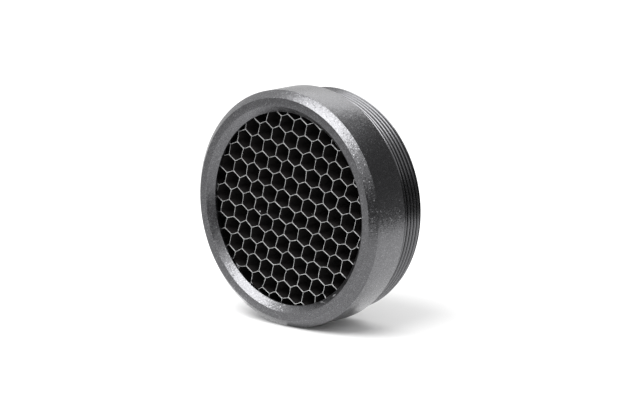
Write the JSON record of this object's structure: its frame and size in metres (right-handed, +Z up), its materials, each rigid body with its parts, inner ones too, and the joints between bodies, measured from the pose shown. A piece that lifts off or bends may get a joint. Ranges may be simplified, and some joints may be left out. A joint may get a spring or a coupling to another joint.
{
  "type": "honeycomb grid snoot",
  "caption": "Short screw-in ring holding a foil honeycomb grid that narrows a small light's beam and hides its glare.",
  "frame": {"origin": "centre of the shoulder that seats on the light", "axes": "+Y along the bore axis, from the open front to the threaded rear; +Z up and +X to the right as seen from the front"},
  "size_m": [0.04, 0.0132, 0.04],
  "materials": {
    "anodised_barrel": "bead-blasted, dark grey anodised",
    "washer_steel": "blackened spring steel strip",
    "anodised_ring": "turned, black anodised",
    "coated_foil": "matt black coated foil with bare cut edges"
  },
  "bodies": {
    "body": {"barrel": "anodised_barrel", "ribbon_01": "coated_foil", "ribbon_02": "coated_foil", "ribbon_03": "coated_foil", "ribbon_04": "coated_foil", "ribbon_05": "coated_foil", "ribbon_06": "coated_foil", "ribbon_07": "coated_foil", "ribbon_08": "coated_foil", "ribbon_09": "coated_foil", "ribbon_10": "coated_foil", "ribbon_11": "coated_foil", "ribbon_12": "coated_foil", "ribbon_13": "coated_foil", "ribbon_14": "coated_foil", "ribbon_15": "coated_foil", "ribbon_16": "coated_foil", "ribbon_17": "coated_foil", "ribbon_18": "coated_foil", "ribbon_19": "coated_foil", "ribbon_20": "coated_foil", "ribbon_21": "coated_foil", "ribbon_22": "coated_foil", "ribbon_23": "coated_foil"},
    "washer": {"slip_washer": "washer_steel"},
    "ring": {"retaining_ring": "anodised_ring"}
  },
  "joints": [
    {"name": "washer_travel", "type": "slide", "parent": "body", "child": "washer", "axis": [0, 1, 0], "range_m": [0, 0.00263]},
    {"name": "ring_turn", "type": "hinge", "parent": "washer", "child": "ring", "pos_m": [0, 0.00335, 0], "axis": [0, 1, 0], "range_deg": [0, 1260]}
  ],
  "couplings": [
    {"joint": "washer_travel", "follows": "ring_turn", "m_per_rad": 0.00011937}
  ]
}
